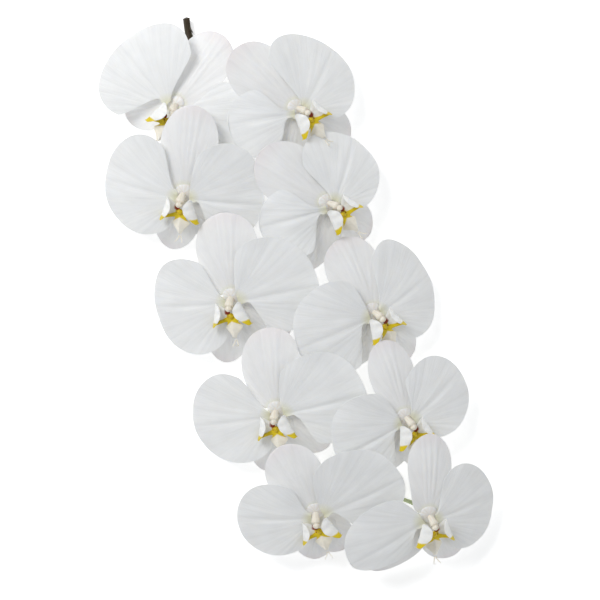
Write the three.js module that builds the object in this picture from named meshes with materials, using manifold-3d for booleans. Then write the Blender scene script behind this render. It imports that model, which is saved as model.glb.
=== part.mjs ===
// A cut spray of white moth orchid (Phalaenopsis): ten open flowers in two ranks on one
// arching stem. The cut spray lies on its back, so the flowers face up.
// Millimetres. +X is to the viewer's right, +Y towards the cut end of the stem and +Z up,
// out of the flowers' faces. The stem and the lowest sepals rest on z = 0.

import * as THREE from 'three';
import { mergeVertices } from 'three/addons/utils/BufferGeometryUtils.js';
import Module from 'manifold-3d';

const wasm = await Module();
wasm.setup();

// ---------------------------------------------------------------- driving dimensions

const DEGREE = Math.PI / 180;

// How far the claws of petals and sepals narrow, as fractions of the blade's own outline.
const PETAL_CLAW = { pinch: 0.17, half: 1.7, length: 0.8 };
const SEPAL_CLAW = { pinch: 0.2, half: 1.6, length: 0.8 };
const LOBE_CLAW = { pinch: 0.3, half: 1.2, length: 0.4 };

const PETAL_EGG = 0.04;
const PETAL_ARCH = 2.6;
const PETAL_REFLEX = 2.4;
const PETAL_RIPPLE = 0.4;
const PETAL_ROOT = new THREE.Vector3(2.7, -1.2, 0.9);
const BLADE_THICKNESS = 0.9;

const DORSAL_EGG = 0.14;
const LATERAL_EGG = -0.04;
const LATERAL_WIDTH = 27;
const SEPAL_ARCH = 1.6;
const SEPAL_TIP_REFLEX = 2.0;
const SEPAL_EDGE_REFLEX = 2.2;
const SEPAL_ROOT_RADIUS = 1.0;
const SEPAL_ROOT_HEIGHT = -2.6;
const DORSAL_FALL = 8;
const LATERAL_FALL = 12;

const HUB = { radius: 2.6, height: 2.1, centre: -2.3 };
const COLUMN = { base: 1.6, head: 2.5, capStart: 0.7 };
const LIP_THICKNESS = 0.8;
const MIDLOBE = { length: 14, upper: 5, lower: 5, egg: 0.1, claw: LOBE_CLAW };
const SIDE_LOBE = { length: 12, upper: 5.2, lower: 5.2, egg: 0.15, claw: LOBE_CLAW };

const OVARY_LENGTH = 17;
const OVARY_RADIUS = 1.9;
const PEDICEL_RADIUS = 1.25;
const PEDICEL_GAP = 0.5;
const PEDICEL_LEAD = 16;

// Slivers thinner than this close up where the pieces of one body join.
const JOIN_TOLERANCE = 0.1;

const STEM_CUT_RADIUS = 2.1;
const STEM_TIP_RADIUS = 1.4;
const BRACT = { root: 7, tip: 2.6, lift: 0.9, rootRadius: 1.5, tipRadius: 0.4 };

// ---------------------------------------------------------------- the layout of the spray

// Ten flowers from the cut end to the tip, left and right in turn. `at` is the junction where
// petals, lip and column meet. Every direction is a bearing in degrees, clockwise from +Y.
// `roll` is the flower's own upright, `tilt` raises its top, `turn` faces it to the right and
// `look` is the same for its column and lip alone.
// A petal is [bearing, reach from the junction, half width above, half width below, swing
// forward], the dorsal sepal [bearing, length, width] and a lateral sepal [bearing, length].
const FLOWERS = [
  {
    at: [-76.7, 117.9, 26], roll: 29, tilt: 13, turn: -18, look: 4,
    left: [-42, 51, 38, 31, 5], right: [104, 48, 25, 26, -17],
    dorsal: [31, 50, 35], laterals: [[-96, 38], [165, 42]],
  },
  {
    at: [-0.9, 115.4, 33], roll: -36, tilt: 16, turn: 12, look: 24,
    left: [-98, 45, 18, 24, -13], right: [34, 46.5, 36.5, 25.5, -15],
    dorsal: [-46, 51, 37], laterals: [[-170, 42], [117, 42]],
  },
  {
    at: [-70.6, 63.3, 32], roll: 0, tilt: 23, turn: -10, look: -20,
    left: [-83, 51.5, 35, 28.5, -10], right: [95, 49, 38, 23, -8],
    dorsal: [5, 53, 35], laterals: [[-164, 42], [140, 42]],
  },
  {
    at: [17.9, 57.9, 34], roll: -40, tilt: 21, turn: 12, look: 24,
    left: [-104, 46, 18, 24, -14], right: [26, 46.5, 31, 25, -18],
    dorsal: [-52, 51, 37], laterals: [[-166, 42], [124, 38]],
  },
  {
    at: [-41.5, 0.3, 31], roll: -12, tilt: 18, turn: -10, look: -22,
    left: [-100, 49.5, 31, 32, -10], right: [78, 54, 37, 25, -6],
    dorsal: [-7, 50.5, 38], laterals: [[-173, 46], [128, 42]],
  },
  {
    at: [45.1, -8.2, 32], roll: -26, tilt: 18, turn: 12, look: 22,
    left: [-111, 52, 32, 27, -6], right: [62, 45.5, 36, 27, -16],
    dorsal: [-22.5, 47.5, 35], laterals: [[-155, 38], [138, 42]],
  },
  {
    at: [-14.2, -68.2, 29], roll: -12, tilt: 18, turn: -8, look: -22,
    left: [-103.5, 53, 31, 27, -8], right: [76.4, 56, 34, 25, -6],
    dorsal: [-7, 49.5, 37], laterals: [[-171, 44], [131, 40]],
  },
  {
    at: [64.5, -72.4, 34], roll: -15, tilt: 20, turn: 12, look: 22,
    left: [-117, 48, 31, 20, -4], right: [53, 47, 25, 25.5, -15],
    dorsal: [-15, 48, 28], laterals: [[-158, 38], [152, 38]],
  },
  {
    at: [10, -130, 30], roll: -22, tilt: 26, turn: -6, look: -20,
    left: [-94, 49, 24.5, 25.5, -8], right: [64, 57, 34, 22, -4],
    dorsal: [-30, 45.5, 34], laterals: [[178, 38], [150, 36]],
  },
  {
    at: [78.5, -131.8, 34], roll: -2, tilt: 24, turn: 10, look: 24,
    left: [-123, 56, 27, 13, -6], right: [78, 45, 28, 26, -18],
    dorsal: [2, 49.5, 27], laterals: [[-139, 52], [151, 38]],
  },
];

// The stem's centre line from its cut end to its tip, lying along the surface.
const STEM_ROUTE = [
  [-69.8, 173.4, 4.5],
  [-67.8, 161.5, 3.4],
  [-60.3, 145.1, 2.8],
  [-41.5, 110, 2.4],
  [-24.5, 60.3, 2.2],
  [-2.5, -3.9, 2.1],
  [22, -70, 2],
  [38, -112, 1.9],
  [44, -128, 2.2],
];

// Moves the spray so that the middle of its footprint is the origin and its lowest point is
// on z = 0.
const RECENTRE = new THREE.Vector3(2.01, -4.64, 0.66);

// Where along the stem, from 0 to 1, each flower's pedicel leaves it, and the bare node
// near the cut end.
const FLOWER_NODES = [0.15, 0.23, 0.33, 0.42, 0.52, 0.61, 0.71, 0.8, 0.89, 0.97];
const BARE_NODE = 0.04;

// ---------------------------------------------------------------- shaping helpers

/** A closed body bent from a block: `place(u, v, w)` gives the point for u in -1..1 across,
 *  v in 0..1 along and w in -1..1 through the block. */
function bentBlock(columns, rows, place) {
  const geometry = new THREE.BoxGeometry(2, 1, 2, columns, rows, 1);
  const position = geometry.attributes.position;
  for (let i = 0; i < position.count; i++) {
    const point = place(position.getX(i), position.getY(i) + 0.5, position.getZ(i));
    position.setXYZ(i, point.x, point.y, point.z);
  }
  return weld(geometry);
}

/** A thin shell of even thickness on both sides of `surface(u, v)`. */
function shell(surface, thickness, columns, rows) {
  const step = 1e-3;
  return bentBlock(columns, rows, (u, v, w) => {
    const across = surface(u + step, v).sub(surface(u - step, v));
    const along = surface(u, v + step).sub(surface(u, v - step));
    const normal = across.cross(along).normalize();
    return surface(u, v).addScaledVector(normal, w * thickness / 2);
  });
}

/** A solid rod along `curve`; `radiusAt(t)` gives its radius from t = 0 to t = 1. */
function rod(curve, radiusAt, sides, steps) {
  const geometry = new THREE.CylinderGeometry(1, 1, 1, sides, steps);
  const frames = curve.computeFrenetFrames(steps, false);
  const position = geometry.attributes.position;
  for (let i = 0; i < position.count; i++) {
    const t = 0.5 - position.getY(i);
    const ring = Math.round(t * steps);
    const radius = radiusAt(t);
    const point = curve.getPointAt(t);
    point.addScaledVector(frames.normals[ring], radius * position.getX(i));
    point.addScaledVector(frames.binormals[ring], radius * position.getZ(i));
    position.setXYZ(i, point.x, point.y, point.z);
  }
  return weld(geometry);
}

/** Joins a geometry's shared vertices and makes its faces point out. */
function weld(geometry) {
  geometry.deleteAttribute('normal');
  geometry.deleteAttribute('uv');
  const merged = mergeVertices(geometry, 1e-4);
  if (signedVolume(merged) < 0) {
    const index = merged.index;
    for (let i = 0; i < index.count; i += 3) {
      const first = index.getX(i);
      index.setX(i, index.getX(i + 1));
      index.setX(i + 1, first);
    }
  }
  return merged;
}

/** The volume inside a closed geometry, negative where its faces point in. */
function signedVolume(geometry) {
  const corner = [new THREE.Vector3(), new THREE.Vector3(), new THREE.Vector3()];
  let volume = 0;
  for (let i = 0; i < geometry.index.count; i += 3) {
    corner.forEach((point, k) => {
      point.fromBufferAttribute(geometry.attributes.position, geometry.index.getX(i + k));
    });
    volume += corner[0].dot(corner[1].clone().cross(corner[2])) / 6;
  }
  return volume;
}

/** Joins overlapping closed geometries into one body, with no pocket shut inside it.
 *  `keepSeams` leaves every corner of the lines where they cross. */
function joined(geometries, keepSeams) {
  const solids = geometries.map((geometry) => new wasm.Manifold(new wasm.Mesh({
    numProp: 3,
    vertProperties: new Float32Array(geometry.attributes.position.array),
    triVerts: new Uint32Array(geometry.index.array),
  })));
  const pieces = solids.reduce((whole, next) => whole.add(next)).decompose();
  const body = pieces.reduce((largest, next) => (next.volume() > largest.volume() ? next : largest));
  const mesh = (keepSeams ? body : body.asOriginal()).simplify(JOIN_TOLERANCE).getMesh();
  const result = new THREE.BufferGeometry();
  result.setAttribute('position', new THREE.BufferAttribute(mesh.vertProperties, 3));
  result.setIndex(new THREE.BufferAttribute(mesh.triVerts, 1));
  return result;
}

/** The outline of a petal, sepal or lobe: a fan from its narrow claw at the origin, along +X,
 *  to a rounded margin. Gives the flat point for u across and v from the claw to the margin. */
function fan(blade, u, v) {
  const { claw } = blade;
  const turn = u * (Math.PI - claw.pinch);
  const half = turn > 0 ? blade.upper : blade.lower;
  const edgeX = claw.length + (blade.length / 2) * (1 + Math.cos(turn));
  const edgeY = half * Math.sin(turn) * (1 + blade.egg * Math.cos(turn));
  return new THREE.Vector3(v * edgeX, (1 - v) * u * claw.half + v * edgeY, 0);
}

/** How far out along a blade, and how far across it from -1 to 1, a flat point lies. */
function spread(blade, point) {
  const half = point.y > 0 ? blade.upper : blade.lower;
  return { out: point.x / blade.length, across: point.y / half };
}

// ---------------------------------------------------------------- the pieces of a flower

// In a flower's own frame its junction is at the origin, +Y runs up the dorsal sepal and
// +Z faces the viewer.

/** A petal: `side` is -1 for the left one and 1 for the right, `angle` its rise above the
 *  horizontal and `swing` its lean forward. */
function petalGeometry(side, angle, [, reach, upper, lower, swing]) {
  const length = reach - PETAL_ROOT.x - PETAL_CLAW.length;
  const blade = { length, upper, lower, egg: PETAL_EGG, claw: PETAL_CLAW };
  const place = new THREE.Matrix4()
    .makeRotationZ(angle * DEGREE)
    .multiply(new THREE.Matrix4().makeRotationY(-swing * DEGREE))
    .setPosition(PETAL_ROOT);
  return shell((u, v) => {
    const point = fan(blade, u, v);
    const { out, across } = spread(blade, point);
    point.z = PETAL_ARCH * Math.sin(Math.PI * out)
      - PETAL_REFLEX * across * across * out
      + PETAL_RIPPLE * v * v * Math.sin(9 * u + 1.5 * side);
    point.applyMatrix4(place);
    point.x *= side;
    return point;
  }, BLADE_THICKNESS, 12, 5);
}

/** A sepal whose middle line runs at `angle` clockwise from the flower's +Y and falls back
 *  by `fall` degrees. */
function sepalGeometry(angle, fall, length, width, egg) {
  const blade = { length, upper: width / 2, lower: width / 2, egg, claw: SEPAL_CLAW };
  const turn = angle * DEGREE;
  const place = new THREE.Matrix4()
    .makeRotationZ(Math.PI / 2 - turn)
    .multiply(new THREE.Matrix4().makeRotationY(fall * DEGREE))
    .setPosition(
      SEPAL_ROOT_RADIUS * Math.sin(turn),
      SEPAL_ROOT_RADIUS * Math.cos(turn),
      SEPAL_ROOT_HEIGHT,
    );
  return shell((u, v) => {
    const point = fan(blade, u, v);
    const { out, across } = spread(blade, point);
    point.z = SEPAL_ARCH * Math.sin(Math.PI * out)
      - SEPAL_TIP_REFLEX * out ** 3
      - SEPAL_EDGE_REFLEX * across * across * out;
    return point.applyMatrix4(place);
  }, BLADE_THICKNESS, 6, 3);
}

/** The column: a stubby rod that leans forward and down and ends in the round anther cap. */
function columnGeometry() {
  const curve = new THREE.QuadraticBezierCurve3(
    new THREE.Vector3(0, 0.6, 0.2),
    new THREE.Vector3(0, -0.6, 5),
    new THREE.Vector3(0, -5.4, 8.6),
  );
  const radiusAt = (t) => {
    const swell = COLUMN.base + (COLUMN.head - COLUMN.base) * Math.sin(t * Math.PI / 2);
    const round = Math.max(0, (t - COLUMN.capStart) / (1 - COLUMN.capStart));
    return swell * Math.sqrt(1 - 0.8 * round * round);
  };
  return rod(curve, radiusAt, 7, 5);
}

/** The lip: a strap under the column, a swollen callus, two raised side lobes and the
 *  pointed midlobe. */
function lipGeometry() {
  const strap = rod(
    new THREE.LineCurve3(new THREE.Vector3(0, -4.0, 0.7), new THREE.Vector3(0, -9.5, 3.4)),
    () => 0.9, 5, 1,
  );
  const callus = new THREE.SphereGeometry(1, 7, 5);
  callus.scale(2.4, 2.2, 2.0).translate(0, -9.6, 3.6);
  const lobe = (blade, root, outward, up, bend) => {
    const x = outward.clone().normalize();
    const z = x.clone().cross(up).normalize();
    const y = z.clone().cross(x);
    const place = new THREE.Matrix4().makeBasis(x, y, z).setPosition(root);
    return shell((u, v) => {
      const point = fan(blade, u, v);
      const { out, across } = spread(blade, point);
      point.z = bend * (across * across - 0.5 * out);
      return point.applyMatrix4(place);
    }, LIP_THICKNESS, 4, 2);
  };
  const midlobe = lobe(
    MIDLOBE,
    new THREE.Vector3(0, -9.5, 3.4),
    new THREE.Vector3(0, -0.86, 0.42),
    new THREE.Vector3(1, 0, 0),
    -1.5,
  );
  const sides = [-1, 1].map((side) => lobe(
    SIDE_LOBE,
    new THREE.Vector3(1.2 * side, -9.5, 3.4),
    new THREE.Vector3(0.72 * side, 0.02, 0.72),
    new THREE.Vector3(0, 1, 0),
    2.5 * side,
  ));
  return joined([strap, weld(callus), midlobe, ...sides], false);
}

/** The three sepals, the hub they grow from, the ovary behind it and the pedicel that runs
 *  by `lead` to `foot`, beside the stem, both given in the flower's own frame. */
function sepalsGeometry(flower, lead, foot) {
  const hub = new THREE.SphereGeometry(1, 7, 5);
  hub.scale(HUB.radius, HUB.radius, HUB.height).translate(0, 0, HUB.centre);
  const curve = new THREE.CubicBezierCurve3(
    new THREE.Vector3(0, 0, HUB.centre),
    new THREE.Vector3(0, 0, HUB.centre - OVARY_LENGTH),
    lead,
    foot,
  );
  const swell = OVARY_RADIUS - PEDICEL_RADIUS;
  const radiusAt = (t) => PEDICEL_RADIUS + swell * Math.max(0, 1 - 2 * t);
  const [bearing, length, width] = flower.dorsal;
  return joined([
    weld(hub),
    rod(curve, radiusAt, 6, 8),
    sepalGeometry(bearing - flower.roll, DORSAL_FALL, length, width, DORSAL_EGG),
    ...flower.laterals.map(([side, reach]) => sepalGeometry(
      side - flower.roll, LATERAL_FALL, reach, LATERAL_WIDTH, LATERAL_EGG,
    )),
  ], true);
}

// ---------------------------------------------------------------- the stem

const stemCurve = new THREE.CatmullRomCurve3(STEM_ROUTE.map((point) => new THREE.Vector3(...point)));
const stemRadius = (t) => STEM_CUT_RADIUS + (STEM_TIP_RADIUS - STEM_CUT_RADIUS) * t;

/** The stem's centre, direction and level sideways direction at `t`; `side` is -1 or 1. */
function stemNode(t, side) {
  const centre = stemCurve.getPointAt(t);
  const along = stemCurve.getTangentAt(t);
  const outward = new THREE.Vector3(-along.y, along.x, 0).normalize();
  outward.multiplyScalar(Math.sign(outward.x) * side);
  return { centre, along, outward };
}

/** The stem with a small scale-like bract at each of its nodes. */
function stemGeometry() {
  const bracts = [BARE_NODE, ...FLOWER_NODES].map((t, index) => {
    const { centre, along, outward } = stemNode(t, index % 2 === 0 ? 1 : -1);
    const root = centre.clone().addScaledVector(along, -BRACT.root);
    const tip = centre.clone()
      .addScaledVector(along, -BRACT.tip)
      .addScaledVector(outward, stemRadius(t) + BRACT.lift);
    const radiusAt = (s) => BRACT.rootRadius + (BRACT.tipRadius - BRACT.rootRadius) * s;
    return rod(new THREE.LineCurve3(root, tip), radiusAt, 5, 1);
  });
  return joined([rod(stemCurve, stemRadius, 8, 32), ...bracts], true);
}

// ---------------------------------------------------------------- materials

const finish = (color, roughness) => () => new THREE.MeshStandardMaterial({
  color, roughness, metalness: 0,
});
const petalWhite = finish(0xe6e8e8, 0.6);
const sepalWhite = finish(0xdedfd8, 0.62);
const columnCream = finish(0xede9dc, 0.45);
const lipYellow = finish(0xe0c64c, 0.45);
const stemOlive = finish(0x2c2a18, 0.55);

// ---------------------------------------------------------------- assembly

const spray = new THREE.Group();

function named(name, geometry, material) {
  const mesh = new THREE.Mesh(geometry, material);
  mesh.name = name;
  return mesh;
}

FLOWERS.forEach((flower, index) => {
  const side = index % 2 === 0 ? -1 : 1;
  const label = `flower_${String(index + 1).padStart(2, '0')}`;
  const group = new THREE.Group();
  group.position.set(...flower.at);
  group.rotation.set(flower.tilt * DEGREE, flower.turn * DEGREE, -flower.roll * DEGREE, 'ZXY');
  group.updateMatrixWorld();

  const t = FLOWER_NODES[index];
  const { centre, along, outward } = stemNode(t, side);
  const reach = stemRadius(t) + PEDICEL_GAP;
  const foot = centre.clone().addScaledVector(outward, reach);
  const lead = centre.clone()
    .addScaledVector(outward, reach + PEDICEL_LEAD)
    .addScaledVector(along, PEDICEL_LEAD / 2);

  const leftAngle = 90 + flower.left[0] - flower.roll;
  const rightAngle = 90 - flower.right[0] + flower.roll;
  const sepals = sepalsGeometry(flower, group.worldToLocal(lead), group.worldToLocal(foot));
  const facing = (flower.look - flower.turn) * DEGREE;
  group.add(
    named(`${label}_sepals`, sepals, sepalWhite()),
    named(`${label}_petal_left`, petalGeometry(-1, leftAngle, flower.left), petalWhite()),
    named(`${label}_petal_right`, petalGeometry(1, rightAngle, flower.right), petalWhite()),
    named(`${label}_lip`, lipGeometry().rotateY(facing), lipYellow()),
    named(`${label}_column`, columnGeometry().rotateY(facing), columnCream()),
  );
  spray.add(group);
});

spray.add(named('stem', stemGeometry(), stemOlive()));
spray.children.forEach((child) => child.position.add(RECENTRE));

export default spray;
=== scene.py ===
"""Cut spray of white moth orchid (Phalaenopsis): the visual model, laid out as an add-on.

The spray lies on its back. In a flower's own frame the junction of petals, lip and column is
the origin, +Y runs up the dorsal sepal and +Z faces the viewer. Tables are in millimetres and
degrees; every mesh ends in metres in the frame of the CAD model.
"""

import math

import bpy
import numpy as np
from mathutils import Matrix, Vector


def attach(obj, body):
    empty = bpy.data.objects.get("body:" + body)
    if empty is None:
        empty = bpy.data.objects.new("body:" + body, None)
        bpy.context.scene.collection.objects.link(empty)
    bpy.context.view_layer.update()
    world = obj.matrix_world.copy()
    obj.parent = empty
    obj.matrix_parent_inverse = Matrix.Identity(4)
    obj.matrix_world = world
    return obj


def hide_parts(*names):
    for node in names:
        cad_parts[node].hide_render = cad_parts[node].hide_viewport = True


bl_info = {
    "name": "Cut Moth Orchid Spray",
    "version": (1, 0, 0),
    "blender": (4, 5, 0),
    "location": "3D View > Sidebar > Orchid",
    "description": "Builds a cut spray of white moth orchid flowers on its CAD frame",
    "category": "Add Mesh",
}

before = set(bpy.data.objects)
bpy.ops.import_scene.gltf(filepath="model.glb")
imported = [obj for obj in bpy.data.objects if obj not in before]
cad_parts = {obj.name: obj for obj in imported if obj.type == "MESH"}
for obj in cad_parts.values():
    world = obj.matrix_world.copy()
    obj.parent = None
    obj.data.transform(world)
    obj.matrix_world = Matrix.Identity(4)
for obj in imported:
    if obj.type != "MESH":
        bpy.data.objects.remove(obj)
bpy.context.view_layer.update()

MM = 0.001

# ------------------------------------------------------------------ the layout of the spray

RECENTRE = (2.01, -4.64, 0.66)

# Ten flowers from the cut end to the tip. `at` is the junction where petals, lip and column
# meet. Every direction is a bearing in degrees, clockwise from +Y. `roll` is the flower's own
# upright, `tilt` raises its top, `turn` faces it to the right and `look` is how far its column
# and lip face to the right. A petal is (bearing, reach, half width above, half width below,
# swing forward, margin above, margin below), the dorsal sepal (bearing, length, width) and a
# lateral sepal (bearing, length).
FLOWERS = [
    dict(at=(-76.7, 117.9, 26), roll=29, tilt=13, turn=-18, look=14,
         left=(-42, 51, 38, 31, 5, "round", "notched"),
         right=(104, 48, 25, 26, -17, "late", "full"),
         dorsal=(31, 50, 35), laterals=((-96, 38), (165, 42))),
    dict(at=(-0.9, 115.4, 33), roll=-36, tilt=16, turn=12, look=24,
         left=(-98, 45, 19, 24, -13, "late", "notched"),
         right=(34, 46.5, 36.5, 25.5, -15, "round", "full"),
         dorsal=(-46, 51, 37), laterals=((-170, 42), (117, 42))),
    dict(at=(-70.6, 63.3, 32), roll=0, tilt=23, turn=-10, look=-20,
         left=(-83, 51.5, 35, 28.5, -10, "round", "full"),
         right=(95, 49, 38, 23, -8, "eared", "notched"),
         dorsal=(5, 53, 35), laterals=((-164, 42), (140, 42))),
    dict(at=(17.9, 57.9, 34), roll=-40, tilt=21, turn=12, look=24,
         left=(-104, 46, 19, 24, -14, "late", "notched"),
         right=(26, 46.5, 31, 25, -18, "round", "full"),
         dorsal=(-52, 51, 37), laterals=((-166, 42), (124, 38))),
    dict(at=(-41.5, 0.3, 31), roll=-12, tilt=18, turn=-10, look=-22,
         left=(-100, 49.5, 31, 32, -10, "round", "full"),
         right=(78, 54, 37, 25, -6, "eared", "notched"),
         dorsal=(-7, 50.5, 38), laterals=((-173, 46), (128, 42))),
    dict(at=(45.1, -8.2, 32), roll=-26, tilt=18, turn=12, look=22,
         left=(-111, 52, 32, 27, -6, "eared", "notched"),
         right=(62, 45.5, 36, 27, -16, "round", "full"),
         dorsal=(-22.5, 47.5, 35), laterals=((-155, 38), (138, 42))),
    dict(at=(-14.2, -68.2, 29), roll=-12, tilt=18, turn=-8, look=-22,
         left=(-103.5, 53, 31, 27, -8, "round", "full"),
         right=(76.4, 56, 34, 25, -6, "eared", "notched"),
         dorsal=(-7, 49.5, 37), laterals=((-171, 44), (131, 40))),
    dict(at=(64.5, -72.4, 34), roll=-15, tilt=20, turn=12, look=22,
         left=(-117, 48, 31, 20, -4, "eared", "notched"),
         right=(53, 47, 25, 25.5, -15, "round", "full"),
         dorsal=(-15, 48, 28), laterals=((-158, 38), (152, 38))),
    dict(at=(10, -130, 30), roll=-22, tilt=26, turn=-6, look=-20,
         left=(-94, 49, 24.5, 25.5, -8, "round", "full"),
         right=(64, 57, 34, 22, -4, "eared", "notched"),
         dorsal=(-30, 45.5, 34), laterals=((178, 38), (150, 36))),
    dict(at=(78.5, -131.8, 34), roll=-2, tilt=24, turn=10, look=24,
         left=(-123, 56, 27, 13, -6, "eared", "notched"),
         right=(78, 45, 28, 26, -18, "round", "full"),
         dorsal=(2, 49.5, 27), laterals=((-139, 52), (151, 38))),
]

# The stem's centre line from its cut end to its tip, lying along the surface.
STEM_ROUTE = [
    (-69.8, 173.4, 4.5), (-67.8, 161.5, 3.4), (-60.3, 145.1, 2.8), (-41.5, 110, 2.4),
    (-24.5, 60.3, 2.2), (-2.5, -3.9, 2.1), (22, -70, 2), (38, -112, 1.9), (44, -128, 2.2),
]
FLOWER_NODES = (0.15, 0.23, 0.33, 0.42, 0.52, 0.61, 0.71, 0.8, 0.89, 0.97)
BARE_NODE = 0.04

PETAL_ROOT = np.array((2.7, -1.2, 0.9))
PETAL_ARCH, PETAL_REFLEX, PETAL_EGG = 2.6, 2.4, 0.04
SEPAL_ARCH, SEPAL_TIP_REFLEX, SEPAL_EDGE_REFLEX = 1.6, 2.0, 2.2
DORSAL_EGG, LATERAL_EGG, LATERAL_WIDTH = 0.14, -0.04, 27
DORSAL_FALL, LATERAL_FALL = 8, 12
SEPAL_ROOT_RADIUS, SEPAL_ROOT_HEIGHT = 1.0, -2.6
# How a blade's margin leaves its claw: where along it the margin starts to swing out, where
# it is at full width and how far it bulges back past the widest row.
MARGINS = {
    "round": (-0.02, 0.30, 0), "eared": (-0.15, 0.20, 7), "late": (0.02, 0.60, 0),
    "notched": (0.12, 0.36, 0), "full": (-0.15, 0.16, 5), "sepal": (-0.6, 0.1, 0),
}
PETAL_CLAW = dict(pinch=0.17, half=2.8, length=0.8)
SEPAL_CLAW = dict(pinch=0.2, half=4.0, length=0.8)
FAN_CENTRE = 2  # how far behind a blade's root its veins meet
PETAL_VEINS, SEPAL_VEINS = 46.0, 30.0
OVARY_TOP, OVARY_LENGTH, OVARY_RADIUS, PEDICEL_RADIUS = -2.3, 17, 1.9, 1.25
PEDICEL_GAP, PEDICEL_LEAD = 0.5, 16
STEM_CUT_RADIUS, STEM_TIP_RADIUS = 2.1, 1.4
STEM_STREAKS, STALK_STREAKS = 60.0, 6.0
LIP_WALL, LIP_MARGIN = 0.9, 0.35
BRACT_WALL, BRACT_MARGIN = 0.4, 0.15

# How a mesh is finished: doubled points this close, in metres, are merged, and a wall's
# thickness is weighted in this many steps.
MERGE_DISTANCE = 0.00002
WALL_STEPS = 20
SMOOTH_ANGLE = 50

# The stage, in metres: a floor that glows a little, even light from all round, soft boxes
# (name, place, size, power) and a camera over the plane the flowers face from.
FLOOR_SIZE, FLOOR_GLOW = 6, 0.4
ROOM_LIGHT = 0.42
SOFT_BOXES = (
    ("key_soft_box", (-0.9, 0.9, 1.6), 0.8, 21),
    ("fill_soft_box", (0.9, -0.4, 1.8), 1.6, 4),
)
CAMERA_DISTANCE = 2.4
FLOWER_PLANE = 0.033
VIEW_WIDTH = 0.3636
SENSOR_WIDTH = 36


def linear(hex_colour):
    """An sRGB hex colour as linear red, green and blue."""
    channels = [int(hex_colour[i:i + 2], 16) / 255 for i in (1, 3, 5)]
    return tuple(c / 12.92 if c <= 0.04045 else ((c + 0.055) / 1.055) ** 2.4 for c in channels)


# ------------------------------------------------------------------ what a user would change

def length_property(name, description, millimetres):
    """A length in metres, given in millimetres."""
    return bpy.props.FloatProperty(
        name=name, description=description, default=millimetres * MM, min=0.0,
        subtype="DISTANCE", unit="LENGTH", precision=5)


def colour_property(name, description, hex_colour):
    """A colour, given as an sRGB hex value."""
    return bpy.props.FloatVectorProperty(
        name=name, description=description, default=linear(hex_colour), min=0.0, max=1.0,
        subtype="COLOR")


class OrchidSizes(bpy.types.PropertyGroup):
    petal_thickness: length_property("Petal thickness", "Thickness of a petal's middle", 0.7)
    margin_thickness: length_property("Margin thickness", "Thickness at a blade's edge", 0.3)
    crease: length_property("Midrib crease", "Depth of the crease down a petal", 0.45)
    ruffle: length_property("Ruffle", "How far a petal's margin waves up and down", 1.1)
    keel: length_property("Sepal ridges", "Height of the ridges along a sepal", 0.45)


class OrchidColours(bpy.types.PropertyGroup):
    petal: colour_property("Petal", "White of the petals", "#F4F5F5")
    sepal: colour_property("Sepal", "White of the sepals", "#F1F1F1")
    claw: colour_property("Claw", "Green-cream at the foot of petals and sepals", "#ECEBD2")
    blush: colour_property("Blush", "Faint grey-pink of the sepals' tips and backs", "#EEEAEB")
    column: colour_property("Column", "Cream of the column", "#F3EEE2")
    lobe: colour_property("Lobe", "White of the lip's side lobes", "#FBFBF8")
    gold: colour_property("Gold", "Yellow of the lip", "#E2CA1E")
    # Ember is the throat's real red marking, taken as dark as it looks in the throat's shade.
    ember: colour_property("Ember", "Red-brown of the lip's throat", "#8A2F08")
    stalk: colour_property("Stalk", "Green of the ovaries and pedicels", "#A9B58A")
    stem: colour_property("Stem", "Dark olive of the stem", "#2A2813")
    streak: colour_property("Streak", "Brown of the streaks along the stem", "#3A2414")
    floor: colour_property("Floor", "Colour of the floor", "#FFFFFF")


def sizes():
    return bpy.context.scene.orchid_sizes


def colours():
    return bpy.context.scene.orchid_colours


# ------------------------------------------------------------------ shaping helpers

def deselect():
    if bpy.context.object and bpy.context.object.mode != "OBJECT":
        bpy.ops.object.mode_set(mode="OBJECT")
    bpy.ops.object.select_all(action="DESELECT")


def activate(piece):
    deselect()
    piece.select_set(True)
    bpy.context.view_layer.objects.active = piece


def sheet_of(name, columns, rows, place):
    """A grid primitive with each point set by place(u, v): u in -1..1 across, v in 0..1
    along. `place` takes arrays and gives points in millimetres."""
    deselect()
    bpy.ops.mesh.primitive_grid_add(x_subdivisions=columns, y_subdivisions=rows, size=2)
    piece = bpy.context.object
    piece.name = name
    piece.data.name = name
    flat = np.empty(len(piece.data.vertices) * 3)
    piece.data.vertices.foreach_get("co", flat)
    flat = flat.reshape(-1, 3)
    points = place(flat[:, 0], (flat[:, 1] + 1) / 2) * MM
    piece.data.vertices.foreach_set("co", points.ravel())
    piece.data.update()
    return piece


def close_up(piece):
    """Merges a piece's doubled points and turns its faces outwards."""
    activate(piece)
    bpy.ops.object.mode_set(mode="EDIT")
    bpy.ops.mesh.select_all(action="SELECT")
    bpy.ops.mesh.remove_doubles(threshold=MERGE_DISTANCE)
    bpy.ops.mesh.normals_make_consistent(inside=False)
    bpy.ops.object.mode_set(mode="OBJECT")


def thicken(piece, thickness, margin, edge_share):
    """Gives a blade its wall: full thickness inside, `margin` at the edge. `edge_share` holds
    how close each point is to the edge, 0 inside and 1 at it."""
    group = piece.vertex_groups.new(name="wall")
    low = margin / thickness
    share = low + (1 - low) * (1 - np.clip(edge_share, 0, 1) ** 2)
    for step in range(WALL_STEPS + 1):
        members = np.nonzero(np.round(share * WALL_STEPS) == step)[0].tolist()
        if members:
            group.add(members, step / WALL_STEPS, "REPLACE")
    wall = piece.modifiers.new("wall", "SOLIDIFY")
    wall.thickness = thickness
    wall.offset = 0
    wall.vertex_group = "wall"
    wall.use_even_offset = False
    apply_modifier(piece, wall)
    close_up(piece)


def apply_modifier(piece, modifier):
    activate(piece)
    bpy.ops.object.modifier_apply(modifier=modifier.name)


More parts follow.
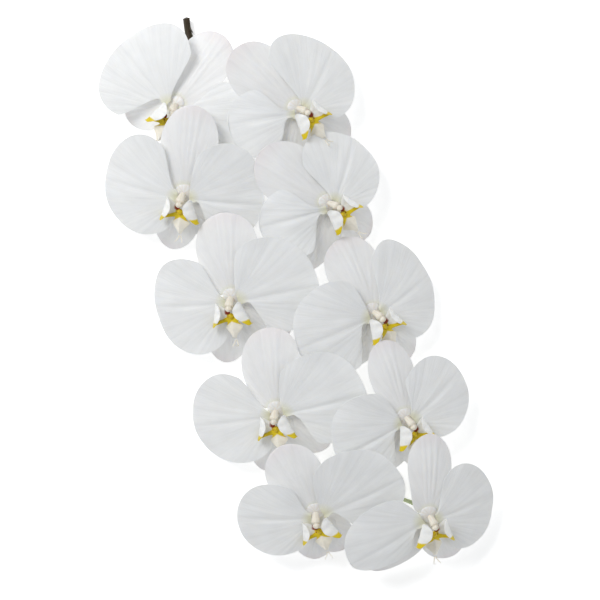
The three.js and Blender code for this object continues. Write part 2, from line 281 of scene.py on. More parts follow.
def finish_piece(piece, slot, material, *nodes):
    """Smooths a piece, gives it its material, and ties it to the CAD nodes it stands for."""
    activate(piece)
    bpy.ops.object.shade_smooth_by_angle(angle=math.radians(SMOOTH_ANGLE))
    piece.data.materials.clear()
    piece.data.materials.append(material)
    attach(piece, "root")
    if nodes:
        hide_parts(*nodes)
    return piece


def set_map(piece, across, along):
    """Writes the piece's UV map from one pair of numbers for each point."""
    layer = piece.data.uv_layers.active or piece.data.uv_layers.new(name="UVMap")
    corners = np.empty(len(piece.data.loops), dtype=np.int32)
    piece.data.loops.foreach_get("vertex_index", corners)
    pairs = np.stack([across[corners], along[corners]], axis=1)
    layer.data.foreach_set("uv", pairs.ravel())


def moved(points, matrix):
    """Points turned and moved by a 4 by 4 matrix."""
    rows = np.array(matrix)
    return points @ rows[:3, :3].T + rows[:3, 3]


def settle(piece, matrix):
    """Moves a piece built in a flower's own frame to its place, for good."""
    place = matrix.copy()
    place.translation = matrix.translation * MM
    piece.data.transform(place)
    piece.data.update()


def near_edge(u, v, tip_power):
    """How close each point of a blade is to its margin, 0 inside and 1 at it."""
    return np.maximum(np.abs(u) ** 4, v ** tip_power)


def bezier(controls, t):
    """Points and directions along a Bezier curve of degree 2 or 3."""
    c = [np.array(p, dtype=float) for p in controls]
    t = np.atleast_1d(t)[:, None]
    while len(c) > 2:
        c = [a * (1 - t) + b * t for a, b in zip(c, c[1:])]
    return c[0] * (1 - t) + c[1] * t, c[1] - c[0] + 0 * t


def tube(name, centre, radius_at, sides, steps):
    """A closed rod along centre(t), with its ends rounded off by radius_at(t, angle)."""
    t_line = np.linspace(0, 1, steps + 1)
    line = centre(t_line)
    tangent = np.gradient(line, axis=0)
    tangent /= np.linalg.norm(tangent, axis=1)[:, None]
    normal = np.cross(tangent[0], (0.3, 0.9, 0.2))
    normals = []
    for direction in tangent:
        normal = normal - direction * np.dot(normal, direction)
        normal = normal / np.linalg.norm(normal)
        normals.append(normal)
    normals = np.array(normals)
    binormals = np.cross(tangent, normals)

    def place(u, v):
        ring = np.round(v * steps).astype(int)
        angle = u * math.pi
        radius = radius_at(v, angle)[:, None]
        side = normals[ring] * np.cos(angle)[:, None]
        return line[ring] + radius * (side + binormals[ring] * np.sin(angle)[:, None])

    piece = sheet_of(name, sides, steps, place)
    close_up(piece)
    return piece


def curved_rod(name, line, matrix, radius_at, sides, steps):
    """A rod along a Bezier curve given in a flower's own frame."""
    return tube(name, lambda t: moved(bezier(line, t)[0], matrix), radius_at, sides, steps)


def smooth(x):
    """Eases from 0 to 1 as x goes from 0 to 1."""
    x = np.clip(x, 0, 1)
    return x * x * (3 - 2 * x)


def spin(axis, degrees):
    return Matrix.Rotation(math.radians(degrees), 4, axis)


def flower_matrix(flower):
    """From a flower's own frame to the frame of the CAD model, in millimetres."""
    place = Matrix.Translation(Vector(flower["at"]) + Vector(RECENTRE))
    upright = place @ spin("Z", -flower["roll"])
    return upright @ spin("X", flower["tilt"]) @ spin("Y", flower["turn"])


def label(index):
    return f"flower_{index + 1:02d}"


# ------------------------------------------------------------------ blades

def blade_flat(u, v, length, upper, lower, egg, claw, margins, wobble):
    """The flat outline of a petal or sepal, filled by rows across it from claw to tip."""
    turn = (math.pi - claw["pinch"]) * (1 - v)
    row = claw["length"] + length / 2 * (1 + np.cos(turn))
    half = np.sin(turn) * (1 + egg * np.cos(turn))
    foot = claw["half"] * (1 - smooth(v * 2.6))
    x, y = row.copy(), np.zeros_like(u)
    for sign, width, kind, beat in ((1, upper, margins[0], 3.1), (-1, lower, margins[1], 2.7)):
        start, full, back = MARGINS[kind]
        edge = width * half * smooth((row / length - start) / (full - start))
        edge = edge * (1 + 0.02 * np.sin(beat * turn + wobble)) + foot
        part = np.clip(sign * u, 0, 1)
        x = x - back * part ** 1.5 * np.sin(turn) ** 2 * (1 - np.cos(turn)) / 1.5
        y = y + sign * part * edge
    return x, y


def petal(name, side, angle, shape, phase):
    """A fan-shaped blade, creased down its midrib and ruffled at its margin."""
    _, reach, upper, lower, swing, *margins = shape
    size = sizes()
    crease, ruffle = size.crease / MM, size.ruffle / MM
    length = reach - PETAL_ROOT[0] - PETAL_CLAW["length"]
    place_matrix = Matrix.Translation(PETAL_ROOT) @ spin("Z", angle) @ spin("Y", -swing)
    kept = {}

    def place(u, v):
        x, y = blade_flat(u, v, length, upper, lower, PETAL_EGG, PETAL_CLAW, margins, phase)
        out = x / length
        across = np.where(y > 0, y / upper, y / lower)
        bearing = np.arctan2(y, x + FAN_CENTRE)
        rim = np.hypot(np.abs(u) ** 3, v ** 6)
        arch = np.sin(math.pi * np.clip(out, 0, 1))
        sunk = np.sin(math.pi * np.clip(out * 0.9 + 0.05, 0, 1)) ** 0.6
        fine = np.sin(34 * bearing + 2 * np.sin(7 * bearing + phase))
        z = PETAL_ARCH * arch - PETAL_REFLEX * across ** 2 * out
        z = z - crease * np.exp(-(y / 1.5) ** 2) * sunk
        z = z + 0.5 * crease * np.exp(-((np.abs(y) - 4) / 3) ** 2) * arch
        z = z + ruffle * rim * np.sin(4.1 * bearing + 1.9 * phase) * out
        z = z + 0.35 * ruffle * rim * np.sin(11 * bearing + 4.3 * phase)
        z = z + 0.10 * fine * smooth(out * 2) * (1.2 - out)
        kept["map"] = (bearing / math.pi + 0.5, np.hypot(x, y) / length)
        kept["edge"] = near_edge(u, v, 8)
        points = moved(np.stack([x, y, z], axis=1), place_matrix)
        points[:, 0] *= side
        return points

    piece = sheet_of(name, 72, 84, place)
    set_map(piece, *kept["map"])
    thicken(piece, size.petal_thickness, size.margin_thickness, kept["edge"])
    return piece


def sepal(name, angle, fall, length, width, egg, phase):
    """A leaf-shaped blade with three low ridges, its tip and edges bent back."""
    size = sizes()
    keel = size.keel / MM
    root = (
        SEPAL_ROOT_RADIUS * math.sin(math.radians(angle)),
        SEPAL_ROOT_RADIUS * math.cos(math.radians(angle)),
        SEPAL_ROOT_HEIGHT,
    )
    place_matrix = Matrix.Translation(root) @ spin("Z", 90 - angle) @ spin("Y", fall)
    half = width / 2
    kept = {}

    def place(u, v):
        x, y = blade_flat(u, v, length, half, half, egg, SEPAL_CLAW, ("sepal", "sepal"), phase)
        out = x / length
        across = y / half
        bearing = np.arctan2(y, x + FAN_CENTRE)
        arch = np.sin(math.pi * np.clip(out, 0, 1))
        z = SEPAL_ARCH * arch - SEPAL_TIP_REFLEX * out ** 3
        z = z - SEPAL_EDGE_REFLEX * across ** 2 * out
        fade = arch ** 0.7
        for offset in (-3.2, 0, 3.2):
            z = z + keel * fade * np.exp(-((y - offset * (0.4 + out)) / 1.1) ** 2)
        z = z + 0.5 * np.abs(u) ** 3 * np.sin(6 * out + 2.2 * phase)
        kept["map"] = (bearing / math.pi + 0.5, np.hypot(x, y) / length)
        kept["edge"] = near_edge(u, v, 8)
        return np.stack([x, y, z], axis=1)

    piece = sheet_of(name, 48, 64, lambda u, v: moved(place(u, v), place_matrix))
    set_map(piece, *kept["map"])
    thicken(piece, size.petal_thickness, size.margin_thickness, kept["edge"])
    return piece


# ------------------------------------------------------------------ column and lip

COLUMN_LINE = ((0, 1.0, 0.2), (0, 0.2, 4.2), (0, -2.6, 7.4))
CAP_LINE = ((0, -1.9, 6.6), (0, -3.3, 8.2), (0, -4.8, 7.8))
CUSHION_LINE = ((0, 1.4, -3.4), (0, 1.4, -0.6))
CUSHION_RADIUS = 5.4
CALLUS_LINE = ((0, -6.9, 4.9), (0, -8.2, 6.2), (0, -10.4, 6.4))
CALLUS_RADIUS = 1.5

# A side lobe as a sheet drawn over four rows of guide points, from the floor of the lip out
# and round to the free margin; each row runs from the lower corner to the upper one.
LOBE_GUIDES = (
    ((0.6, -10.5, 4.6), (1.0, -9.5, 4.2), (1.2, -8.0, 4.0), (1.4, -6.5, 4.0)),
    ((7.5, -13.0, 3.4), (7.5, -10.5, 2.6), (7.0, -6.5, 2.8), (5.0, -3.0, 3.4)),
    ((15.5, -14.5, 5.5), (17.0, -9.5, 5.8), (14.5, -3.0, 6.2), (10.0, 1.0, 6.0)),
    ((11.5, -14.0, 9.5), (4.0, -8.0, 14.5), (1.5, -3.0, 13.0), (7.0, 1.0, 9.0)),
)

MIDLOBE_LINE = ((0, -8.0, 4.4), (0, -12, 6.5), (0, -17.5, 9.2), (0, -24, 6.5))


def lip_matrix(flower):
    """The column and lip turned by `look` in the flower's own frame."""
    return flower_matrix(flower) @ spin("Y", flower["look"] - flower["turn"])


def bernstein(t):
    s = 1 - t
    return np.stack([s ** 3, 3 * s * s * t, 3 * s * t * t, t ** 3])


def set_tint(piece, gold, ember):
    """Writes how gold and how red-brown each point of a lip's piece is, from 0 to 1."""
    layer = piece.data.attributes.new("tint", "FLOAT_COLOR", "POINT")
    values = np.stack([gold, ember, 0 * gold, 0 * gold + 1], axis=1)
    layer.data.foreach_set("color", values.ravel())


def side_lobe(name, side, matrix):
    """One of the two lobes that stand up beside the column."""
    guides = np.array(LOBE_GUIDES)
    kept = {}

    def place(u, v):
        height = (u + 1) / 2
        points = np.einsum("ip,jp,ijk->pk", bernstein(v), bernstein(height), guides)
        points[:, 2] += 0.25 * np.sin(9 * u + 4 * v) * v
        points[:, 0] *= side
        kept["map"] = (height, v)
        kept["gold"] = np.maximum(smooth(1.6 - height / 0.17), smooth(1.6 - v / 0.12))
        # Red-brown at the lobe's foot, towards its upper corner beside the column: partly the
        # throat's real marking, partly painted shade of the recess between lobe, column and petal.
        kept["ember"] = smooth(1.5 - v / 0.20) * smooth((height - 0.45) / 0.25)
        kept["edge"] = near_edge(u, v, 6)
        return moved(points, matrix)

    piece = sheet_of(name, 28, 32, place)
    set_map(piece, *kept["map"])
    set_tint(piece, kept["gold"], kept["ember"])
    thicken(piece, LIP_WALL * MM, LIP_MARGIN * MM, kept["edge"])
    return piece


def midlobe(name, matrix):
    """The anchor-shaped blade in front: two arms at its foot, then a keeled blade."""
    kept = {}

    def place(u, v):
        centre, along = bezier(MIDLOBE_LINE, v)
        along = along / np.linalg.norm(along, axis=1)[:, None]
        sideways = np.array((1.0, 0.0, 0.0))
        facing = np.cross(sideways, along)
        arms = 10.5 * np.exp(-((v - 0.08) / 0.09) ** 2)
        blade = 2.6 + 2.9 * np.exp(-((v - 0.5) / 0.2) ** 2)
        blade = blade * (1 - 0.75 * smooth((v - 0.65) / 0.35))
        x = u * (arms + blade)
        fold = 0.55 * np.abs(x) * smooth(v * 3 - 0.3)
        points = centre + x[:, None] * sideways + facing * fold[:, None]
        near_foot = np.exp(-(v * 3) ** 2)
        notch = smooth(v * 3 - 2.2) * np.exp(-(x / 0.9) ** 2) * smooth((v - 0.8) * 5)
        points[:, 1] -= 0.42 * np.abs(x) * near_foot
        points[:, 2] += 0.12 * np.abs(x) * near_foot
        points[:, 1] += 2.0 * notch
        kept["map"] = ((u + 1) / 2, v)
        kept["gold"] = smooth((0.36 + 0.02 * np.abs(x) - v) / 0.14)
        kept["ember"] = 0.9 * smooth((0.10 - v) / 0.05) * smooth((3.4 - np.abs(x)) / 1.6)
        kept["edge"] = near_edge(u, v, 6)
        return moved(points, matrix)

    piece = sheet_of(name, 48, 44, place)
    set_map(piece, *kept["map"])
    set_tint(piece, kept["gold"], kept["ember"])
    thicken(piece, LIP_WALL * MM, LIP_MARGIN * MM, kept["edge"])
    return piece


def rounded(t, blunt_start, blunt_end):
    """A factor that closes a rod's ends with round caps."""
    start = np.sqrt(np.clip(1 - (1 - t / blunt_start) ** 2, 0, 1))
    end = np.sqrt(np.clip(1 - ((t - 1 + blunt_end) / blunt_end) ** 2, 0, 1))
    return np.where(t < blunt_start, start, 1) * np.where(t > 1 - blunt_end, end, 1)


def column(name, matrix):
    def radius(t, angle):
        swell = 1.7 + 0.9 * np.sin(t * math.pi / 2) ** 1.4
        ridge = 1 + 0.07 * np.cos(2 * angle)
        return swell * ridge * rounded(t, 0.06, 0.22)

    return curved_rod(name, COLUMN_LINE, matrix, radius, 32, 40)


def anther_cap(name, matrix):
    def radius(t, angle):
        dome = 2.15 * np.sin(math.pi * np.clip(t, 0, 1)) ** 0.55
        cleft = 1 - 0.10 * np.exp(-((np.abs(angle) - math.pi / 2) / 0.35) ** 2) * smooth(t * 2)
        return dome * cleft

    return curved_rod(name, CAP_LINE, matrix, radius, 28, 24)


def receptacle(name, matrix):
    """The low cushion that the petals, sepals and column all grow from."""
    def radius(t, angle):
        dome = CUSHION_RADIUS * np.sin(math.pi * np.clip(t, 0, 1)) ** 0.5
        return dome * (1 + 0.05 * np.cos(3 * angle))

    return curved_rod(name, CUSHION_LINE, matrix, radius, 32, 16)


def callus(name, matrix):
    """The two-knobbed swelling on the floor of the lip."""
    def radius(t, angle):
        knobs = 1 + 0.35 * np.abs(np.cos(angle)) ** 2 * np.sin(math.pi * t)
        return CALLUS_RADIUS * np.sin(math.pi * np.clip(t, 0, 1)) ** 0.6 * knobs

    return curved_rod(name, CALLUS_LINE, matrix, radius, 24, 20)


def cirrhi(name, matrix, sway):
    """The two curling threads at the tip of the midlobe."""
    halves = []

    def radius(t, angle):
        return (0.42 - 0.25 * t) * rounded(t, 0.03, 0.03)

    for side in (-1, 1):
        def centre(t, side=side):
            curl = t * (3.6 + 0.5 * sway)
            x = side * (0.5 + 2.6 * np.sin(curl * 0.8) * t)
            y = -23.4 - 3.4 * np.sin(curl * 0.6)
            z = 6.7 + 3.0 * (1 - np.cos(curl * 0.8)) * 0.6
            return moved(np.stack([x, y, z], axis=1), matrix)

        halves.append(tube(f"{name}_{side}", centre, radius, 10, 36))
    deselect()
    for half in halves:
        half.select_set(True)
    bpy.context.view_layer.objects.active = halves[0]
    bpy.ops.object.join()
    halves[0].name = name
    halves[0].data.name = name
    return halves[0]


# ------------------------------------------------------------------ stem and stalks

def catmull_rom(route):
    """A smooth line through the route's points, as points evenly spaced along it."""
    points = np.array(route, dtype=float)
    before = 2 * points[0] - points[1]
    after = 2 * points[-1] - points[-2]
    ends = np.vstack([before, points, after])
    dense = []
    for i in range(len(points) - 1):
        p0, p1, p2, p3 = ends[i:i + 4]
        gaps = [max(np.linalg.norm(b - a), 1e-9) ** 0.5 for a, b in ((p0, p1), (p1, p2), (p2, p3))]
        t1 = (p1 - p0) / gaps[0] - (p2 - p0) / (gaps[0] + gaps[1]) + (p2 - p1) / gaps[1]
        t2 = (p2 - p1) / gaps[1] - (p3 - p1) / (gaps[1] + gaps[2]) + (p3 - p2) / gaps[2]
        t1, t2 = t1 * gaps[1], t2 * gaps[1]
        s = np.linspace(0, 1, 40, endpoint=False)[:, None]
        dense.append(
            p1 * (2 * s ** 3 - 3 * s ** 2 + 1) + t1 * (s ** 3 - 2 * s ** 2 + s)
            + p2 * (3 * s ** 2 - 2 * s ** 3) + t2 * (s ** 3 - s ** 2))
    dense.append(points[-1:])
    line = np.vstack(dense)
    steps = np.concatenate([[0], np.cumsum(np.linalg.norm(np.diff(line, axis=0), axis=1))])
    return line, steps / steps[-1]


STEM_LINE, STEM_SHARE = catmull_rom(STEM_ROUTE)


def stem_at(t):
    """The stem's centre at t, from 0 at the cut end to 1 at the tip."""
    return np.stack([np.interp(t, STEM_SHARE, STEM_LINE[:, k]) for k in range(3)], axis=-1)


def stem_radius(t):
    return STEM_CUT_RADIUS + (STEM_TIP_RADIUS - STEM_CUT_RADIUS) * t


def stem_node(t, side):
    """The stem's centre, direction and level sideways direction at t."""
    centre = stem_at(t)
    along = stem_at(min(t + 0.004, 1)) - stem_at(max(t - 0.004, 0))
    along = along / np.linalg.norm(along)
    outward = np.array((-along[1], along[0], 0))
    outward = outward / np.linalg.norm(outward)
    return centre, along, outward * np.sign(outward[0]) * side


def stalk(name, index, matrix):
    """A flower's ovary and pedicel, from behind the junction to beside the stem."""
    side = -1 if index % 2 == 0 else 1
    t_node = FLOWER_NODES[index]
    centre, along, outward = stem_node(t_node, side)
    reach = stem_radius(t_node) + PEDICEL_GAP
    foot = centre + outward * reach + np.array(RECENTRE)
    lead = centre + outward * (reach + PEDICEL_LEAD) + along * PEDICEL_LEAD / 2
    lead = lead + np.array(RECENTRE)
    start = moved(np.array([(0, 0, OVARY_TOP)]), matrix)[0]
    behind = moved(np.array([(0, 0, OVARY_TOP - OVARY_LENGTH)]), matrix)[0]

    def radius(t, angle):
        ovary = 1 + 0.05 * np.cos(6 * angle) * np.clip(1 - 2 * t, 0, 1)
        swell = PEDICEL_RADIUS + (OVARY_RADIUS - PEDICEL_RADIUS) * np.clip(1 - 2 * t, 0, 1)
        return swell * ovary * rounded(t, 0.02, 0.02)

    return tube(name, lambda t: bezier((start, behind, lead, foot), t)[0], radius, 24, 70)


def stem_piece(name):
    """The stem: a tapering rod, grooved along it and swollen at its nodes."""
    def radius(t, angle):
        swell = np.zeros_like(t)
        for node in (BARE_NODE,) + FLOWER_NODES:
            swell = swell + 0.32 * np.exp(-((t - node) / 0.006) ** 2)
        grooves = 1 + 0.035 * np.cos(5 * angle + 2 * t)
        return (stem_radius(t) + swell) * grooves * rounded(t, 0.0012, 0.004)

    return tube(name, lambda t: stem_at(t) + np.array(RECENTRE), radius, 28, 420)


def bract(name, t, side):
    """A scale that clasps the stem below a node."""
    centre, along, outward = stem_node(t, side)
    up = np.cross(along, outward)
    up = up * np.sign(up[2])
    radius = stem_radius(t)
    kept = {}

    def place(u, v):
        angle = u * 1.25 * (1 - v ** 2.5)
        r = radius + 0.35 + 0.5 * v ** 2
        back = (-6.5 + 4.6 * v)[:, None] * along
        ring = r[:, None] * (np.cos(angle)[:, None] * outward + np.sin(angle)[:, None] * up)
        kept["edge"] = near_edge(u, v, 8)
        return centre + back + ring + np.array(RECENTRE)

    piece = sheet_of(name, 18, 18, place)
    thicken(piece, BRACT_WALL * MM, BRACT_MARGIN * MM, kept["edge"])
    return piece


# ------------------------------------------------------------------ materials

def add_node(tree, kind, settings=None, **inputs):
    """Adds a node, with its settings, and its inputs as values or links. An input is named by
    its label in lower case with _ for a space, or as in_0, in_1 by its place."""
    node = tree.nodes.new(kind)
    for name, value in (settings or {}).items():
        setattr(node, name, value)
    for name, value in inputs.items():
        if name.startswith("in_"):
            socket = node.inputs[int(name[3:])]
        else:
            socket = next(s for s in node.inputs if s.name.lower().replace(" ", "_") == name)
        if isinstance(value, bpy.types.NodeSocket):
            tree.links.new(value, socket)
        else:
            socket.default_value = value
    return node


def ramp(tree, factor, stops):
    node = add_node(tree, "ShaderNodeValToRGB", None, fac=factor)
    elements = node.color_ramp.elements
    while len(elements) < len(stops):
        elements.new(0.5)
    for element, (position, colour) in zip(elements, stops):
        element.position = position
        element.color = (*colour[:3], 1)
    return node.outputs["Color"]


def mixed(tree, factor, first, second, blend="MIX"):
    node = add_node(tree, "ShaderNodeMix", {"data_type": "RGBA", "blend_type": blend}, in_0=factor)
    for place, value in ((6, first), (7, second)):
        if isinstance(value, bpy.types.NodeSocket):
            tree.links.new(value, node.inputs[place])
        else:
            node.inputs[place].default_value = (*value[:3], 1)
    return node.outputs[2]


def new_material(name, roughness, scatter, scatter_mm):
    """A waxy plant tissue: a soft gloss over a body that light enters a little way."""
    material = bpy.data.materials.new(name)
    material.use_nodes = True
    tree = material.node_tree
    surface = tree.nodes["Principled BSDF"]
    surface.inputs["Roughness"].default_value = roughness
    surface.inputs["IOR"].default_value = 1.42
    surface.inputs["Subsurface Weight"].default_value = scatter
    surface.inputs["Subsurface Radius"].default_value = (1.0, 0.9, 0.75)
    surface.inputs["Subsurface Scale"].default_value = scatter_mm * MM
    return material, tree, surface


def grey(value):
    return (value, value, value)


def set_relief(tree, surface, height, strength, distance):
    relief = add_node(tree, "ShaderNodeBump", None, strength=strength, distance=distance,
                      height=height)
    tree.links.new(relief.outputs["Normal"], surface.inputs["Normal"])


def lined_noise(tree, where, across, along, **settings):
    """Noise drawn out into lines: `across` and `along` scale the piece's UV map."""
    lines = add_node(tree, "ShaderNodeVectorMath", {"operation": "MULTIPLY"},
                     in_0=where.outputs["UV"], in_1=(across, along, 1.0))
    noise = add_node(tree, "ShaderNodeTexNoise", {"noise_dimensions": "2D"},
                     vector=lines.outputs["Vector"], scale=1.0, **settings)
    return noise.outputs["Fac"]


def blade_material(name, body, tip, claw, roughness, veins):
    """Petal or sepal tissue: a waxy skin over white, air-filled cells. Its veins fan out from
    the claw, sunk a little and a touch greyer, and its foot is green-cream."""
    material, tree, surface = new_material(name, roughness, 0.22, 1.6)
    where = add_node(tree, "ShaderNodeUVMap", {"uv_map": "UVMap"})
    split = add_node(tree, "ShaderNodeSeparateXYZ", None, vector=where.outputs["UV"])
    along = split.outputs["Y"]
    veining = lined_noise(tree, where, veins, 1.6, detail=4.0, roughness=0.62, distortion=0.35)
    fine_veins = lined_noise(tree, where, veins * 3.1, 4.5, detail=2.0, roughness=0.5)
    cells = add_node(tree, "ShaderNodeTexCoord")
    cloud = add_node(tree, "ShaderNodeTexNoise", None, vector=cells.outputs["Object"],
                     scale=70.0, detail=3.0, roughness=0.55)
    fade = ramp(tree, along, [(0.0, claw), (0.05, claw), (0.17, body), (0.82, body), (1.0, tip)])
    shade = ramp(tree, veining, [(0.3, grey(0.93)), (0.62, grey(1.0))])
    patch = ramp(tree, cloud.outputs["Fac"], [(0.35, grey(0.965)), (0.65, grey(1.0))])
    veined = mixed(tree, 0.75, fade, shade, "MULTIPLY")
    tree.links.new(mixed(tree, 1.0, veined, patch, "MULTIPLY"), surface.inputs["Base Color"])
    height = add_node(tree, "ShaderNodeMath", {"operation": "MULTIPLY_ADD"},
                      in_0=fine_veins, in_1=0.35, in_2=veining)
    set_relief(tree, surface, height.outputs["Value"], 0.5, 0.00045)
    return material


def column_material(name, colour):
    """Column tissue: thick, smooth and waxy cream, with faint pink-grey lines along it."""
    material, tree, surface = new_material(name, 0.38, 0.35, 1.8)
    where = add_node(tree, "ShaderNodeUVMap", {"uv_map": "UVMap"})
    tone = lined_noise(tree, where, 14.0, 1.2, detail=2.0)
    dull = tuple(c * k for c, k in zip(colour, (0.93, 0.89, 0.84)))
    tint = ramp(tree, tone, [(0.35, dull), (0.65, colour)])
    tree.links.new(tint, surface.inputs["Base Color"])
    set_relief(tree, surface, tone, 0.3, 0.0002)
    return material


def lobe_material(name, white, gold, ember):
    """Lip tissue: thick, glossy and white, gold along its foot and lower margin, with
    red-brown in the throat, which on the side lobes is partly the real marking and partly
    painted shade. Its colours meet unevenly, as pigment does in living cells."""
    material, tree, surface = new_material(name, 0.36, 0.22, 1.2)
    paint = add_node(tree, "ShaderNodeAttribute", {"attribute_name": "tint"})
    split = add_node(tree, "ShaderNodeSeparateColor", None, color=paint.outputs["Color"])
    cells = add_node(tree, "ShaderNodeTexCoord")
    cloud = add_node(tree, "ShaderNodeTexNoise", None, vector=cells.outputs["Object"],
                     scale=420.0, detail=3.0, roughness=0.6)
    colour = white
    # Gold, then red-brown; on the side lobes the red-brown is partly painted shade of the throat.
    for channel, pigment in (("Red", gold), ("Green", ember)):
        uneven = add_node(tree, "ShaderNodeMath", {"operation": "MULTIPLY_ADD"},
                          in_0=cloud.outputs["Fac"], in_1=0.5, in_2=split.outputs[channel])
        amount = add_node(tree, "ShaderNodeMapRange", None, value=uneven.outputs["Value"],
                          from_min=0.45, from_max=0.95)
        colour = mixed(tree, amount.outputs["Result"], colour, pigment)
    shade = ramp(tree, cloud.outputs["Fac"], [(0.35, grey(0.93)), (0.65, grey(1.0))])
    tree.links.new(mixed(tree, 1.0, colour, shade, "MULTIPLY"), surface.inputs["Base Color"])
    set_relief(tree, surface, cloud.outputs["Fac"], 0.25, 0.0003)
    return material


def callus_material(gold, ember):
    """The callus: glossy gold, freckled with red-brown."""
    material, tree, surface = new_material("freckled_gold_callus", 0.3, 0.2, 0.8)
    cells = add_node(tree, "ShaderNodeTexCoord")
    freckles = add_node(tree, "ShaderNodeTexVoronoi", None, vector=cells.outputs["Object"],
                        scale=900.0)
    cloud = add_node(tree, "ShaderNodeTexNoise", None, vector=cells.outputs["Object"],
                     scale=500.0, detail=2.0)
    spots = ramp(tree, freckles.outputs["Distance"], [(0.12, ember), (0.3, gold)])
    warm = tuple(0.7 * a + 0.3 * b for a, b in zip(gold, ember))
    tint = mixed(tree, cloud.outputs["Fac"], spots, warm)
    tree.links.new(tint, surface.inputs["Base Color"])
    set_relief(tree, surface, cloud.outputs["Fac"], 0.4, 0.0003)
    return material


def bark_material(name, colour, highlight, roughness, streaks):
    """Stem or stalk: a smooth satin rind with fine streaks along it."""
    material, tree, surface = new_material(name, roughness, 0.08, 0.8)
    where = add_node(tree, "ShaderNodeUVMap", {"uv_map": "UVMap"})
    tone = lined_noise(tree, where, 18.0, streaks, detail=4.0, roughness=0.6)
    tint = ramp(tree, tone, [(0.3, colour), (0.75, highlight)])
    tree.links.new(tint, surface.inputs["Base Color"])
    set_relief(tree, surface, tone, 0.4, 0.0003)
    return material


# ------------------------------------------------------------------ operators

class ORCHID_OT_petals(bpy.types.Operator):
    """Builds the two broad petals of every flower"""
    bl_idname = "orchid.petals"
    bl_label = "Petals"

    def execute(self, context):
        tint = colours()
        skin = blade_material("white_petal_skin", tint.petal, tint.petal, tint.claw, 0.5,
                              PETAL_VEINS)
        for index, flower in enumerate(FLOWERS):
            matrix = flower_matrix(flower)
            for side, word in ((-1, "left"), (1, "right")):
                shape = flower[word]
                angle = 90 + side * (flower["roll"] - shape[0])
                name = f"{label(index)}_{word}_petal"
                piece = petal(name, side, angle, shape, index * 1.7 + side)
                settle(piece, matrix)
                finish_piece(piece, "petal", skin, f"{label(index)}_petal_{word}")
        return {"FINISHED"}


class ORCHID_OT_sepals(bpy.types.Operator):
    """Builds the dorsal sepal and two lateral sepals of every flower"""
    bl_idname = "orchid.sepals"
    bl_label = "Sepals"

    def execute(self, context):
        tint = colours()
        skin = blade_material("white_sepal_skin", tint.sepal, tint.blush, tint.claw, 0.52,
                              SEPAL_VEINS)
        for index, flower in enumerate(FLOWERS):
            matrix = flower_matrix(flower)
            bearing, length, width = flower["dorsal"]
            piece = sepal(f"{label(index)}_dorsal_sepal", bearing - flower["roll"], DORSAL_FALL,
                          length, width, DORSAL_EGG, index * 1.3)
            settle(piece, matrix)
            finish_piece(piece, "sepal", skin, f"{label(index)}_sepals")
            for order, (bearing, length) in enumerate(flower["laterals"]):
                name = f"{label(index)}_lateral_sepal_{order + 1}"
                piece = sepal(name, bearing - flower["roll"], LATERAL_FALL, length,
                              LATERAL_WIDTH, LATERAL_EGG, index + order)
                settle(piece, matrix)
                finish_piece(piece, "sepal", skin)
        return {"FINISHED"}


class ORCHID_OT_columns(bpy.types.Operator):
    """Builds every column, the anther cap at its tip and the cushion it grows from"""
    bl_idname = "orchid.columns"
    bl_label = "Columns"

    def execute(self, context):
        skin = column_material("waxy_cream_column", colours().column)
        pale = column_material("waxy_white_cushion", colours().sepal)
        for index, flower in enumerate(FLOWERS):
            matrix = lip_matrix(flower)
            piece = column(f"{label(index)}_column_body", matrix)
            finish_piece(piece, "column", skin, f"{label(index)}_column")
            finish_piece(anther_cap(f"{label(index)}_anther_cap", matrix), "column", skin)
            piece = receptacle(f"{label(index)}_receptacle", flower_matrix(flower))
            finish_piece(piece, "column", pale)
        return {"FINISHED"}


class ORCHID_OT_lips(bpy.types.Operator):
    """Builds every lip: two side lobes, midlobe, callus and cirrhi"""
    bl_idname = "orchid.lips"
    bl_label = "Lips"

    def execute(self, context):
        tint = colours()
        lobe_skin = lobe_material("waxy_white_side_lobe", tint.lobe, tint.gold, tint.ember)
        mid_skin = lobe_material("waxy_gold_midlobe", tint.column, tint.gold, tint.ember)
        gold = callus_material(tint.gold, tint.ember)
        thread = column_material("pale_cirrhus_tissue", tint.column)
        for index, flower in enumerate(FLOWERS):
            matrix = lip_matrix(flower)
            name = label(index)
            finish_piece(midlobe(f"{name}_midlobe", matrix), "lip", mid_skin, f"{name}_lip")
            for side, word in ((-1, "left"), (1, "right")):
                finish_piece(side_lobe(f"{name}_{word}_lobe", side, matrix), "lip", lobe_skin)
            finish_piece(callus(f"{name}_callus", matrix), "lip", gold)
            finish_piece(cirrhi(f"{name}_cirrhi", matrix, math.sin(index * 2.1)), "lip", thread)
        return {"FINISHED"}


class ORCHID_OT_stalks(bpy.types.Operator):
    """Builds the ovary and pedicel behind every flower"""
    bl_idname = "orchid.stalks"
    bl_label = "Ovaries and pedicels"

    def execute(self, context):
        tint = colours()
        pale = tuple(min(1, c * 1.5) for c in tint.stalk)
        skin = bark_material("satin_green_pedicel", tint.stalk, pale, 0.45, STALK_STREAKS)
        for index, flower in enumerate(FLOWERS):
            name = f"{label(index)}_ovary_and_pedicel"
            finish_piece(stalk(name, index, flower_matrix(flower)), "sepal", skin)
        return {"FINISHED"}


class ORCHID_OT_stem(bpy.types.Operator):
    """Builds the stem and the bract at each of its nodes"""
    bl_idname = "orchid.stem"
    bl_label = "Stem"

    def execute(self, context):
        tint = colours()
        skin = bark_material("satin_olive_stem", tint.stem, tint.streak, 0.42, STEM_STREAKS)
        finish_piece(stem_piece("cut_stem"), "stem", skin, "stem")
        for index, t in enumerate((BARE_NODE,) + FLOWER_NODES):
            side = 1 if index % 2 == 0 else -1
            finish_piece(bract(f"bract_{index:02d}", t, side), "stem", skin)
        return {"FINISHED"}


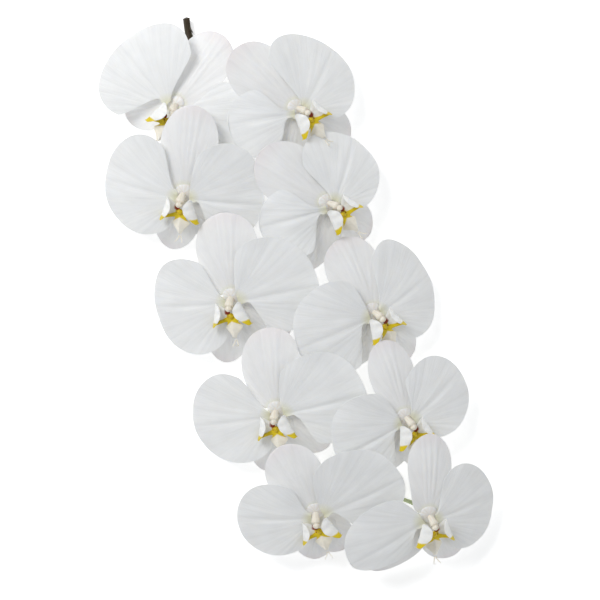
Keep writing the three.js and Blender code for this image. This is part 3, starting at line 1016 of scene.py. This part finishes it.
class ORCHID_OT_stage(bpy.types.Operator):
    """Sets the pale floor, the soft lights and the camera that looks straight down"""
    bl_idname = "orchid.stage"
    bl_label = "Floor, lights and camera"

    def execute(self, context):
        deselect()
        bpy.ops.mesh.primitive_plane_add(size=FLOOR_SIZE)
        floor = context.object
        floor.name = "floor"
        pale = bpy.data.materials.new("matt_white_board")
        pale.use_nodes = True
        board = pale.node_tree.nodes["Principled BSDF"]
        board.inputs["Base Color"].default_value = (*colours().floor, 1)
        board.inputs["Roughness"].default_value = 0.9
        board.inputs["Emission Color"].default_value = (1, 1, 1, 1)
        board.inputs["Emission Strength"].default_value = FLOOR_GLOW
        floor.data.materials.append(pale)

        world = bpy.data.worlds.new("studio")
        world.use_nodes = True
        room = world.node_tree.nodes["Background"]
        room.inputs["Color"].default_value = (0.96, 0.98, 1, 1)
        room.inputs["Strength"].default_value = ROOM_LIGHT
        context.scene.world = world
        for name, place, size, power in SOFT_BOXES:
            light = bpy.data.lights.new(name, "AREA")
            light.shape = "SQUARE"
            light.size = size
            light.energy = power
            lamp = bpy.data.objects.new(name, light)
            context.scene.collection.objects.link(lamp)
            lamp.location = place
            lamp.rotation_euler = (-Vector(place)).to_track_quat("-Z", "Y").to_euler()

        lens = bpy.data.cameras.new("camera")
        lens.sensor_width = SENSOR_WIDTH
        lens.lens = SENSOR_WIDTH * CAMERA_DISTANCE / VIEW_WIDTH
        lens.clip_end = 20
        camera = bpy.data.objects.new("camera", lens)
        context.scene.collection.objects.link(camera)
        camera.location = (RECENTRE[0] * MM, RECENTRE[1] * MM, CAMERA_DISTANCE + FLOWER_PLANE)
        context.scene.camera = camera
        context.scene.view_settings.view_transform = "Standard"
        return {"FINISHED"}


class ORCHID_PT_panel(bpy.types.Panel):
    """Lists the pieces of the spray"""
    bl_idname = "ORCHID_PT_panel"
    bl_label = "Moth orchid spray"
    bl_space_type = "VIEW_3D"
    bl_region_type = "UI"
    bl_category = "Orchid"

    def draw(self, context):
        layout = self.layout
        for step in STEPS:
            layout.operator(step.bl_idname)
        for group in (context.scene.orchid_sizes, context.scene.orchid_colours):
            box = layout.box()
            for name in group.__annotations__:
                box.prop(group, name)


STEPS = (
    ORCHID_OT_stem, ORCHID_OT_stalks, ORCHID_OT_sepals, ORCHID_OT_petals, ORCHID_OT_columns,
    ORCHID_OT_lips, ORCHID_OT_stage,
)
CLASSES = (OrchidSizes, OrchidColours) + STEPS + (ORCHID_PT_panel,)


def register():
    for entry in CLASSES:
        bpy.utils.register_class(entry)
    bpy.types.Scene.orchid_sizes = bpy.props.PointerProperty(type=OrchidSizes)
    bpy.types.Scene.orchid_colours = bpy.props.PointerProperty(type=OrchidColours)


def unregister():
    del bpy.types.Scene.orchid_colours
    del bpy.types.Scene.orchid_sizes
    for entry in reversed(CLASSES):
        bpy.utils.unregister_class(entry)


def main():
    register()
    for step in (
        bpy.ops.orchid.stem, bpy.ops.orchid.stalks, bpy.ops.orchid.sepals, bpy.ops.orchid.petals,
        bpy.ops.orchid.columns, bpy.ops.orchid.lips, bpy.ops.orchid.stage,
    ):
        step()


if __name__ == "__main__":
    main()
